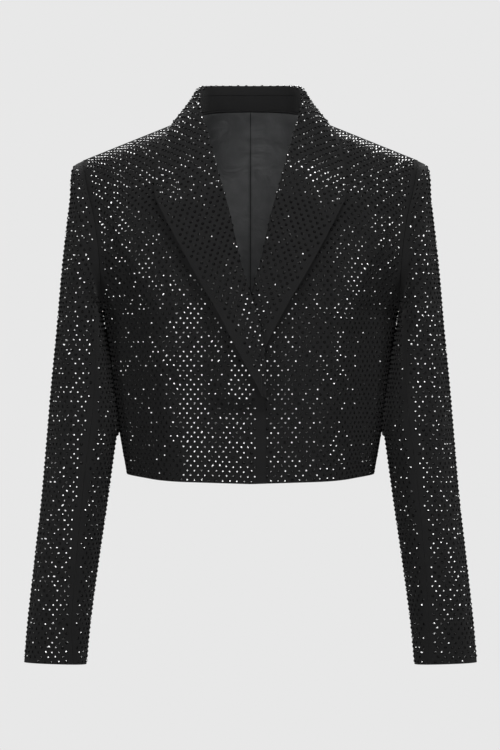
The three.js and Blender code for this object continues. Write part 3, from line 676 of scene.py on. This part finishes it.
# The sleeves: each is cut in two, a top sleeve and a narrower under sleeve, of the same suiting. They
# are eased into the armhole, curve forward a little at the elbow, and end in a plain open cuff.
SLEEVE_SECTIONS = [
    dict(outer=(216.5, -45), inner=(182.2, -223.4), front=-69, back=66, front_seam=0.9, back_seam=0.5),
    dict(outer=(221, -86), inner=(182.2, -224.6), front=-72, back=70, front_seam=0.88, back_seam=0.5),
    dict(outer=(226.3, -130), inner=(182, -226.4), front=-73, back=73, front_seam=0.84, back_seam=0.48),
    dict(outer=(231.3, -178), inner=(181.6, -229.4), front=-73, back=74, front_seam=0.8, back_seam=0.46),
    dict(outer=(236, -233), inner=(180, -238), front=-73, back=73, front_seam=0.75, back_seam=0.44),
    dict(outer=(243.2, -308), inner=(170.3, -310), front=-71, back=66, front_seam=0.48, back_seam=0.42),
    dict(outer=(247.8, -362), inner=(162.6, -362), front=-69, back=60, front_seam=0.27, back_seam=0.4),
    dict(outer=(249.3, -380), inner=(163.7, -380), front=-68, back=58, front_seam=0.24, back_seam=0.4),
    dict(outer=(255.6, -453), inner=(174.7, -453), front=-66, back=48, front_seam=0.25, back_seam=0.38),
    dict(outer=(264, -527), inner=(185.7, -527), front=-65, back=37, front_seam=0.33, back_seam=0.36),
    dict(outer=(272, -600), inner=(195.4, -600), front=-63, back=27, front_seam=0.43, back_seam=0.34),
    dict(outer=(276.6, -650.5), inner=(200.4, -653), front=-61, back=21, front_seam=0.6, back_seam=0.32),
]
SLEEVE_SQUARENESS = 2.35
ARMHOLE_FRONT_SEAM, ARMHOLE_BACK_SEAM = 0.93, 0.5
ARMHOLE_GAP = 0.4
TURN_TRIM = 0.0008
SLEEVE_DOWN = 1.15
PRESS_DEPTH, PRESS_WIDTH = 2.6, 16.0
PRESS_FOOT, PRESS_FADE = -377, 8
ARMPIT, ARMPIT_FADE = -222, 4
ARMHOLE_POINTS = 41
SLEEVE_GRID = (241, 121)
TOP_CELLS = (56, 130)
UNDER_CELLS = (28, 130)
SLEEVE_MIDDLE = (206.5, -5, -380)
TOP_SLEEVE_FOLDS = [
    dict(start=(0.55, 0.045), end=(0.72, 0.20), wide=0.040, high=-1.4),
    dict(start=(0.99, 0.26), end=(0.70, 0.38), wide=0.028, high=-2.0),
    dict(start=(0.97, 0.33), end=(0.68, 0.43), wide=0.028, high=-1.8),
    dict(start=(0.62, 0.42), end=(0.90, 0.51), wide=0.030, high=-1.8),
    dict(start=(0.60, 0.49), end=(0.84, 0.56), wide=0.028, high=1.4),
    dict(start=(0.94, 0.54), end=(0.62, 0.62), wide=0.030, high=-1.6),
    dict(start=(0.05, 0.42), end=(0.34, 0.56), wide=0.032, high=-1.9),
    dict(start=(0.60, 0.62), end=(0.82, 0.82), wide=0.045, high=-1.5),
    dict(start=(0.20, 0.70), end=(0.42, 0.90), wide=0.045, high=1.4),
]
UNDER_SLEEVE_FOLDS = [
    dict(start=(0.02, 0.30), end=(0.90, 0.42), wide=0.045, high=-2.2),
    dict(start=(0.05, 0.42), end=(0.95, 0.50), wide=0.040, high=-2.0),
    dict(start=(0.40, 0.52), end=(0.98, 0.60), wide=0.040, high=1.5),
    dict(start=(0.10, 0.64), end=(0.80, 0.76), wide=0.050, high=-1.4),
]


def armhole_points(sections, share):
    line = spline([s["edge"] for s in sections[:UNDERARM_ROW + 1]], np.linspace(0, 1, ARMHOLE_POINTS))
    marks = run_lengths(line)
    point = np.array([np.interp(share * marks[-1], marks, line[:, k]) for k in range(3)])
    point[0] += ARMHOLE_GAP
    return point


def sleeve_ring_point(section, turn):
    """A point of a sleeve's rounded-square section, for a turn of 0 to 1 from its outer side."""
    outward_share = math.cos(turn * 2 * math.pi)
    forward_share = math.sin(turn * 2 * math.pi)
    power = 2 / SLEEVE_SQUARENESS
    out = (1 + math.copysign(abs(outward_share) ** power, outward_share)) / 2
    forward = (1 + math.copysign(abs(forward_share) ** power, forward_share)) / 2
    x = section["inner"][0] * (1 - out) + section["outer"][0] * out
    z = section["inner"][1] * (1 - out) + section["outer"][1] * out
    y = section["back"] * (1 - forward) + section["front"] * forward
    return np.array([x, y, z])


def seam_turn(share):
    return 0.25 + math.asin(share ** (SLEEVE_SQUARENESS / 2)) / (2 * math.pi)


front_seams = [ARMHOLE_FRONT_SEAM] + [s["front_seam"] for s in SLEEVE_SECTIONS]
back_seams = [ARMHOLE_BACK_SEAM] + [s["back_seam"] for s in SLEEVE_SECTIONS]
front_seam_turns = np.array([seam_turn(share) for share in front_seams])
back_seam_turns = np.array([1 - seam_turn(share) for share in back_seams])


def pressed_to_body(grid):
    """Above where the sleeve hangs free, its inner side lies against the body, with no light between."""
    inner = np.array([section["inner"] for section in SLEEVE_SECTIONS])
    nearest = np.interp(-grid[..., 2], -inner[:, 1], inner[:, 0])
    near = np.clip(1 - (grid[..., 0] - nearest) / PRESS_WIDTH, 0, 1) ** 2
    near *= ease(grid[..., 2], PRESS_FOOT, PRESS_FOOT + PRESS_FADE)
    near *= ease(-grid[..., 2], -ARMPIT, -ARMPIT + ARMPIT_FADE)
    grid[..., 0] -= PRESS_DEPTH * near
    return grid


def sleeve_grid(side, first_turns, last_turns):
    lines = []
    for share in np.linspace(0, 1, SLEEVE_GRID[1]):
        turns = (first_turns + (last_turns - first_turns) * share) % 1
        if turns[0] <= 0.5:
            points = [armhole_points(FRONT_SECTIONS, 2 * turns[0])]
        else:
            points = [armhole_points(BACK_SECTIONS, 2 - 2 * turns[0])]
        points += [sleeve_ring_point(s, turn) for s, turn in zip(SLEEVE_SECTIONS, turns[1:])]
        lines.append(spline(points, np.linspace(0, 1, SLEEVE_GRID[0]) ** SLEEVE_DOWN))
    grid = pressed_to_body(np.array(lines).transpose(1, 0, 2))
    grid[..., 0] *= side
    return grid


def build_sleeve(side, name, turns, cells, folds):
    inside = (side * SLEEVE_MIDDLE[0], SLEEVE_MIDDLE[1], SLEEVE_MIDDLE[2])
    grid = soft_folds(sleeve_grid(side, *turns), inside, folds)
    piece = cloth_piece("cloth_" + name, grid, inside, CLOTH, suiting, cells)
    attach(piece, "root")
    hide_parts(name)
    return grid


top_turns = (back_seam_turns - 1 + TURN_TRIM, front_seam_turns - TURN_TRIM)
under_turns = (front_seam_turns + TURN_TRIM, back_seam_turns - TURN_TRIM)
sleeve_grids = {}
for side, word in ((-1, "right"), (1, "left")):
    sleeve_grids[side, "top"] = build_sleeve(
        side, "sleeve_top_" + word, top_turns, TOP_CELLS, TOP_SLEEVE_FOLDS)
    sleeve_grids[side, "under"] = build_sleeve(
        side, "sleeve_under_" + word, under_turns, UNDER_CELLS, UNDER_SLEEVE_FOLDS)

# The collar: a shawl collar cut in one with its lapels, in two halves that meet at the centre back.
# It stands up round the neck, rolls over, and its fall lies on the back, shoulders and fronts. The
# lapels' outer edges stand a little off the fronts, and cast a soft shadow there.
COLLAR_SEAT = 1.5
ROLL_RADIUS = 3.0
ROLL_TURNS = (0, 45, 90, 135)
ROLL_SHARE_OF_FALL, LEAST_ROLL_RADIUS = 0.3, 0.4
COLLAR_ROWS = 181
COLLAR_SEAM_GAP = 0.04
LAPEL_LIFT, LIFT_PAST_END = 6.5, 0.6
FALL_POINTS = 24
COLLAR_CELLS = (26, 150)
SEAT_SOFTNESS = 1.5
BODY_AXIS_Y, BODY_AXIS_Z = 4, -120
NECK_STATIONS = [
    dict(fold=(0, 68, 57.4), edge=(0, 93, 2), stand=12),
    dict(fold=(29.5, 65.5, 57.4), edge=(42, 88, 2), stand=12),
    dict(fold=(50, 55, 56.8), edge=(76, 68, 1), stand=12),
    dict(fold=(59.5, 35, 54), edge=(88, 40, 1), stand=12),
    dict(fold=(62, 23, 49.6), edge=(92.5, 22, 1), stand=13),
    dict(fold=(62.5, 16, 45.2), edge=(94.8, 12, 0), stand=18),
    dict(fold=(62.5, 9, 41), edge=(97.5, 2, 0), stand=24),
    dict(fold=(60.5, -14, 28), edge=(106, -26, -12), stand=20),
]
STAND_STATIONS = 4

# The surfaces under the collar, as tables of depth: one row a section, one column each mm of width.
WIDTHS = np.arange(-40, 215, 1.0)
TABLE_ROWS = 461


def surface_table(sections):
    rows = np.linspace(0, HEM_ROW, TABLE_ROWS)
    depth, height = [], []
    for row in rows:
        points = section_path(sections, row)[0]
        depth.append(np.interp(np.abs(WIDTHS), points[:, 0], points[:, 1]))
        height.append(np.interp(np.abs(WIDTHS), points[:, 0], points[:, 2]))
    return np.array(depth), np.array(height)


front_depth, front_height = surface_table(FRONT_SECTIONS)
back_depth, back_height = surface_table(BACK_SECTIONS)


def column_at(table, x):
    place = float(np.clip((x - WIDTHS[0]), 0, len(WIDTHS) - 1.001))
    k = int(place)
    return table[:, k] * (1 - place + k) + table[:, k + 1] * (place - k)


def on_front(side, x, z):
    depth, height = column_at(front_depth, x), column_at(front_height, x)
    y = float(np.interp(-z, -height, depth))
    return np.array([x, y - float(lap_lift(side, x, z)), z])


def body_radius(x, angle):
    depth, height = column_at(front_depth, x), column_at(front_height, x)
    turns = np.arctan2(BODY_AXIS_Y - depth, height - BODY_AXIS_Z)
    if angle > turns[0]:
        reach = np.hypot(BODY_AXIS_Y - depth, height - BODY_AXIS_Z)
        return float(np.interp(angle, turns, reach))
    depth, height = column_at(back_depth, x), column_at(back_height, x)
    turns = -np.arctan2(BODY_AXIS_Y - depth, height - BODY_AXIS_Z)
    reach = np.hypot(BODY_AXIS_Y - depth, height - BODY_AXIS_Z)
    return float(np.interp(-angle, turns, reach))


def seated(side, point, clearance, exact):
    """Lays a point over the body: straight forward on to the front below the axis, and above it
    along a ray from the axis, with exactly the clearance or at least that."""
    def above(excess):
        return 0.0 if exact else (excess + math.hypot(excess, SEAT_SOFTNESS)) / 2
    x, y, z = point
    if z < BODY_AXIS_Z:
        surface = on_front(side, x, z)
        surface[1] -= clearance
        surface[1] -= above(surface[1] - y)
        return surface
    up, forward = z - BODY_AXIS_Z, BODY_AXIS_Y - y
    angle = math.atan2(forward, up)
    floor_radius = body_radius(x, angle) + clearance
    radius = floor_radius + above(math.hypot(up, forward) - floor_radius)
    return np.array([x, BODY_AXIS_Y - radius * math.sin(angle), BODY_AXIS_Z + radius * math.cos(angle)])


def collar_section(side, fold, foot, edge):
    up = (fold - foot) / np.linalg.norm(fold - foot)
    out = edge - fold
    out = out - up * np.dot(out, up)
    reach = np.linalg.norm(out)
    out = out / reach
    radius = min(ROLL_RADIUS, ROLL_SHARE_OF_FALL * reach + LEAST_ROLL_RADIUS)
    hub = fold - up * radius + out * radius
    points = [foot]
    for degrees in ROLL_TURNS:
        angle = math.radians(degrees)
        points.append(hub - out * radius * math.cos(angle) + up * radius * math.sin(angle))
    rolled = points[-1]
    for share in np.linspace(0, 1, FALL_POINTS + 1)[1:]:
        place = rolled * (1 - share) + edge * share
        points.append(edge if share == 1 else seated(side, place, COLLAR_SEAT + COLLAR_CLOTH, False))
    return points


def collar_grid(side):
    folds, feet, edges = [], [], []
    clearance = COLLAR_SEAT + COLLAR_CLOTH
    for station in NECK_STATIONS:
        fold = np.array(station["fold"], float)
        folds.append(fold)
        feet.append(fold - (0, 0, station["stand"]))
        edges.append(seated(side, np.array(station["edge"], float), clearance, True))
    for index, station in enumerate(LAPEL_STATIONS):
        lift = LAPEL_LIFT * math.sin(math.pi * (index + 1) / (len(LAPEL_STATIONS) + LIFT_PAST_END))
        surface = on_front(side, *station["fold"])
        folds.append(surface - (0, station["roll"], 0))
        feet.append(surface + (0, CLOTH, 0))
        edges.append(seated(side, on_front(side, *station["edge"]), clearance, True) - (0, lift, 0))
    shares = np.linspace(0, 1, COLLAR_ROWS)
    lines = zip(spline(folds, shares), spline(feet, shares), spline(edges, shares))
    grid = np.array([collar_section(side, *line) for line in lines])
    grid[0, :, 0] += COLLAR_SEAM_GAP / 2
    grid[..., 0] *= side
    return grid


def build_collar(side, name):
    grid = collar_grid(side)
    piece = cloth_piece("cloth_" + name, grid, TORSO_MIDDLE, COLLAR_CLOTH, suiting, COLLAR_CELLS)
    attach(piece, "root")
    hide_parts(name)
    return grid


collar_grids = {-1: build_collar(-1, "collar_right"), 1: build_collar(1, "collar_left")}

# The collar stand: a plain band of suiting inside the back of the neck. It is sewn to the foot of the
# collar at its top, and to the neckline of the back at its bottom.
STAND_TOP_GAP = 0.4
STAND_CELLS = (64, 8)
STAND_GRID = (17, 161)
STAND_REACH = (0.02, 0.98)
STAND_INSIDE = (0, 130, 30)
stand_stations = NECK_STATIONS[:STAND_STATIONS + 1]
stand_top = [
    (side * s["fold"][0], s["fold"][1], s["fold"][2] - s["stand"] - STAND_TOP_GAP)
    for side, run in ((-1, stand_stations[:0:-1]), (1, stand_stations)) for s in run
]
stand_line = spline(stand_top, np.linspace(*STAND_REACH, STAND_GRID[1]))
neckline = section_path(BACK_SECTIONS, 0)[0]
stand_foot = stand_line.copy()
stand_foot[:, 2] = np.interp(np.abs(stand_line[:, 0]), neckline[:, 0], neckline[:, 2]) + SEAM_GAP
stand_grid = np.array([stand_line * (1 - t) + stand_foot * t for t in np.linspace(0, 1, STAND_GRID[0])])
stand_piece = cloth_piece("cloth_stand", stand_grid, STAND_INSIDE, COLLAR_CLOTH, suiting, STAND_CELLS)
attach(stand_piece, "root")
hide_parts("collar_stand")

# The back lining: charcoal satin in two halves, seamed down the centre, hung loose inside the back
# from under the stand to just above the hem. It is soft, and slightly rumpled.
LINING_CLOTH = 1.0
LINING_GAP = 1.5
LINING_ROWS = (0.1, HEM_ROW - 0.3)
LINING_CELLS = (240, 110)
LINING_GRID = (241, 641)
LINING_TUCK = 2.2
LINING_TUCK_ROWS = 34
LINING_FOLDS = [
    dict(start=(0.40, -0.02), end=(0.45, 0.55), wide=0.016, high=-1.0),
    dict(start=(0.53, 0.00), end=(0.56, 0.50), wide=0.014, high=0.9),
    dict(start=(0.58, 0.02), end=(0.60, 0.42), wide=0.018, high=-1.0),
    dict(start=(0.34, 0.16), end=(0.47, 0.24), wide=0.022, high=0.9),
    dict(start=(0.52, 0.22), end=(0.64, 0.15), wide=0.022, high=-0.9),
    dict(start=(0.40, 0.36), end=(0.49, 0.30), wide=0.020, high=-0.8),
    dict(start=(0.51, 0.40), end=(0.60, 0.46), wide=0.024, high=0.8),
    dict(start=(0.47, 0.30), end=(0.48, 0.90), wide=0.012, high=0.6),
    dict(start=(0.35, 0.62), end=(0.70, 0.70), wide=0.035, high=0.8),
]
LINING_SEAM = [dict(start=(0.5, -0.1), end=(0.5, 1.1), wide=0.0035, high=-1.3)]
SATIN_DARK = (0.036, 0.037, 0.038, 1)
SATIN_LIGHT = (0.088, 0.090, 0.092, 1)
SATIN_THREADS_PER_METRE = 4200.0
RUMPLE_SCALE, RUMPLE_DETAIL, RUMPLE_TWIST = 26.0, 3.0, 1.2
RUMPLE_HEIGHT, RUMPLE_STRENGTH = 0.0030, 0.8
SEAM_DARK = (0.004, 0.004, 0.004, 1)
SEAM_HALF_WIDTH, SEAM_SOFTNESS = 0.0005, 0.5
satin = cloth_material(
    "charcoal_satin", SATIN_DARK, SATIN_LIGHT,
    rough=0.5, threads=SATIN_THREADS_PER_METRE, bump=0.10, sheen=0.2,
)


def rumple(material):
    """Adds soft rumples to a cloth's relief, and a dark line at its centre seam."""
    nodes, links = material.node_tree.nodes, material.node_tree.links
    shader = nodes["Principled BSDF"]
    place = nodes.new("ShaderNodeTexCoord")
    crumple = nodes.new("ShaderNodeTexNoise")
    give(crumple, {"Scale": RUMPLE_SCALE, "Detail": RUMPLE_DETAIL, "Distortion": RUMPLE_TWIST})
    links.new(place.outputs["Object"], crumple.inputs["Vector"])
    relief = nodes.new("ShaderNodeBump")
    give(relief, {"Strength": RUMPLE_STRENGTH, "Distance": RUMPLE_HEIGHT})
    links.new(crumple.outputs["Fac"], relief.inputs["Height"])
    woven_relief = shader.inputs["Normal"].links[0].from_socket
    links.new(woven_relief, relief.inputs["Normal"])
    links.new(relief.outputs["Normal"], shader.inputs["Normal"])
    split = nodes.new("ShaderNodeSeparateXYZ")
    links.new(place.outputs["Object"], split.inputs[0])
    away = nodes.new("ShaderNodeMath")
    away.operation = "ABSOLUTE"
    links.new(split.outputs["X"], away.inputs[0])
    beside = nodes.new("ShaderNodeMapRange")
    give(beside, {"From Min": SEAM_HALF_WIDTH * (1 - SEAM_SOFTNESS)})
    give(beside, {"From Max": SEAM_HALF_WIDTH * (1 + SEAM_SOFTNESS)})
    links.new(away.outputs[0], beside.inputs["Value"])
    shade = nodes.new("ShaderNodeMix")
    shade.data_type = "RGBA"
    colours = colour_sockets(shade.inputs)
    colours[0].default_value = SEAM_DARK
    links.new(beside.outputs["Result"], shade.inputs["Factor"])
    links.new(shader.inputs["Base Color"].links[0].from_socket, colours[1])
    links.new(colour_sockets(shade.outputs)[0], shader.inputs["Base Color"])


rumple(satin)
lining_rows = np.linspace(*LINING_ROWS, LINING_GRID[0])
lining_cloth = back_points(lining_rows, np.linspace(-1, 1, LINING_GRID[1]))
lining_tuck = LINING_TUCK * (1 - ease(np.arange(LINING_GRID[0]), 0, LINING_TUCK_ROWS))
lining_hang = (CLOTH + LINING_GAP) - lining_tuck
lining_grid = lining_cloth - outward(lining_cloth, TORSO_MIDDLE) * lining_hang[:, None, None]
lining_grid = soft_folds(lining_grid, TORSO_MIDDLE, LINING_FOLDS)
lining_grid = soft_folds(lining_grid, TORSO_MIDDLE, LINING_SEAM)
lining_piece = cloth_piece("cloth_lining", lining_grid, TORSO_MIDDLE, LINING_CLOTH, satin, LINING_CELLS)
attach(lining_piece, "root")
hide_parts("back_lining")

# Stones on the fronts. They fill both fronts and leave bare what the lapel and the collar cover, with
# a plain strip along the armhole seams, and a wider one down the front edge that lies on top.
ARMHOLE_STRIP = 4.5
HEM_STRIP = 3.0
SHOULDER_STRIP = 2.5
FRONT_EDGE_STRIP = 11.5
UNDER_COLLAR_MARGIN = 1.0
FRONT_ANCHOR = 85
FOLD_COLUMN = 3
SHOULDER_DEPTH = 30


def outline_from_front(side, column):
    """One line of a collar, its fold or its outer edge, as x for each height."""
    line = collar_grids[side][:, column]
    line = line[line[:, 1] < SHOULDER_DEPTH]
    order = np.argsort(line[:, 2])
    return line[order, 2], line[order, 0] * side


def under_collar(places, sides=(-1,)):
    covered = np.zeros(len(places), bool)
    for side in sides:
        heights, folds = outline_from_front(side, FOLD_COLUMN)
        fold = np.interp(places[:, 2], heights, folds) - UNDER_COLLAR_MARGIN
        heights, edges = outline_from_front(side, -1)
        edge = np.interp(places[:, 2], heights, edges) + UNDER_COLLAR_MARGIN
        across = places[:, 0] * side
        covered |= (across > fold) & (across < edge) & (places[:, 2] > heights[0])
    return covered


def under_right_front(places):
    inner = front_grids[-1][:, 0]
    edge = np.interp(-places[:, 2], -inner[:, 2], inner[:, 0])
    beyond = (places[:, 0] < edge + UNDER_COLLAR_MARGIN) & (places[:, 2] < LIFT_TOP)
    return under_collar(places, (-1, 1)) | beyond


front_stone_ends = (SHOULDER_STRIP, HEM_STRIP, FRONT_EDGE_STRIP, ARMHOLE_STRIP)


def at_front_anchor(line):
    return float(np.interp(FRONT_ANCHOR, np.abs(line[:, 0]), np.arange(len(line))))


def middle_column(line):
    return 0.5 * (len(line) - 1)


for side, word, hidden in ((-1, "right", under_collar), (1, "left", under_right_front)):
    grid = front_grids[side]
    places, facings = stones_by_row(grid, TORSO_MIDDLE, at_front_anchor, front_stone_ends, hidden)
    set_stones("stones_front_" + word, places, facings, seed=11 + side, loose_share=0.18)

# Stones on the back, glued in level rows from the collar's outer edge to the hem. The cloth under the
# collar's fall is bare.
COLLAR_BACK_HALF = 96
COLLAR_BACK_FOOT = -3.0


def under_collar_back(places):
    return (places[:, 2] > COLLAR_BACK_FOOT) & (np.abs(places[:, 0]) < COLLAR_BACK_HALF)


back_stone_ends = (SHOULDER_STRIP, HEM_STRIP, ARMHOLE_STRIP, ARMHOLE_STRIP)
places, facings = stones_by_row(back_grid, TORSO_MIDDLE, middle_column, back_stone_ends, under_collar_back)
set_stones("stones_back", places, facings, seed=21, loose_share=0.25)

# Stones on the sleeves, in level rows round the arm. The suiting is left plain beside the seams, the
# armhole and the cuff, where it was sewn or turned under.
SEAM_STRIP = 5.5
CUFF_STRIP = 4.0
for (side, part), grid in sleeve_grids.items():
    inside = (side * SLEEVE_MIDDLE[0], SLEEVE_MIDDLE[1], SLEEVE_MIDDLE[2])
    places, facings = stones_by_height(grid, inside, (ARMHOLE_STRIP, CUFF_STRIP, SEAM_STRIP))
    word = "right" if side < 0 else "left"
    set_stones("stones_sleeve_" + part + "_" + word, places, facings, seed=31 + side, loose_share=0.6)

# Stones on the collar. They run over the roll from just inside it to a plain strip at the outer edge,
# which widens down the lapel. The inside that faces the neck has none.
LAPEL_STRIP_NARROW, LAPEL_STRIP_WIDE = 2.5, 11.0
LAPEL_STRIP_FROM, LAPEL_STRIP_TO = 0.5, 0.95
LAPEL_END_STRIP = 4.0
ROLL_STRIP = 0.0


def lapel_strip(share):
    widening = float(ease(share, LAPEL_STRIP_FROM, LAPEL_STRIP_TO))
    return LAPEL_STRIP_NARROW + (LAPEL_STRIP_WIDE - LAPEL_STRIP_NARROW) * widening


for side, word in ((-1, "right"), (1, "left")):
    ends = (SEAM_GAP, LAPEL_END_STRIP, ROLL_STRIP, lapel_strip)
    grid = collar_grids[side][:, 1:]
    places, facings = stones_by_row(grid, TORSO_MIDDLE, middle_column, ends)
    set_stones("stones_collar_" + word, places, facings, seed=41 + side, loose_share=0.2)
